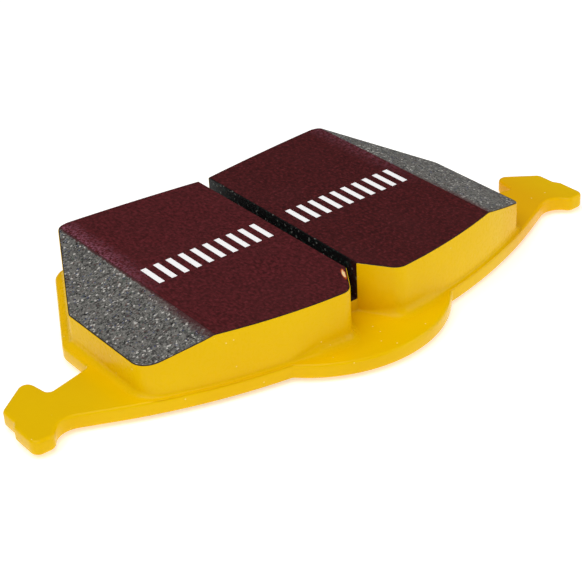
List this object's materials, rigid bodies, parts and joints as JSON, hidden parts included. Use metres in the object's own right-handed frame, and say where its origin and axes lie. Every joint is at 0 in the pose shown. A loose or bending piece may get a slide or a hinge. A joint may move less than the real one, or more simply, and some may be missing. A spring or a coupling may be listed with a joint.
{
  "type": "disc brake pad",
  "caption": "Disc brake pad: steel backing plate with hammerhead ears and a tab, slotted and chamfered friction block, bedding-in coat and rear noise shim.",
  "frame": {"origin": "middle of the underside of the pad's bounding box, on the back of the noise shim", "axes": "+X along the plate from ear to ear, +Y towards the disc's axis, +Z out of the rubbing face"},
  "size_m": [0.1568, 0.078, 0.0167],
  "materials": {
    "plate": "glossy yellow powder coat",
    "bond": "cured phenolic film",
    "underlayer": "dense moulded phenolic with steel fibre",
    "friction": "granular moulded lining, ground and chamfered",
    "coat": "fine abrasive bedding-in coat, dark red",
    "ink": "flat printed ink",
    "glue": "pressure-sensitive acrylic adhesive",
    "shim_rubber": "thin nitrile coat, fine texture",
    "shim_steel": "cold-rolled strip, sheared edge"
  },
  "bodies": {
    "root": {"backing_plate": "plate", "bond_film": "bond", "underlayer": "underlayer", "friction_block": "friction", "coat_left": "coat", "coat_right": "coat", "print_left": "ink", "print_right": "ink", "shim_glue": "glue", "shim_inner_rubber": "shim_rubber", "shim_steel": "shim_steel", "shim_outer_rubber": "shim_rubber"}
  },
  "joints": []
}
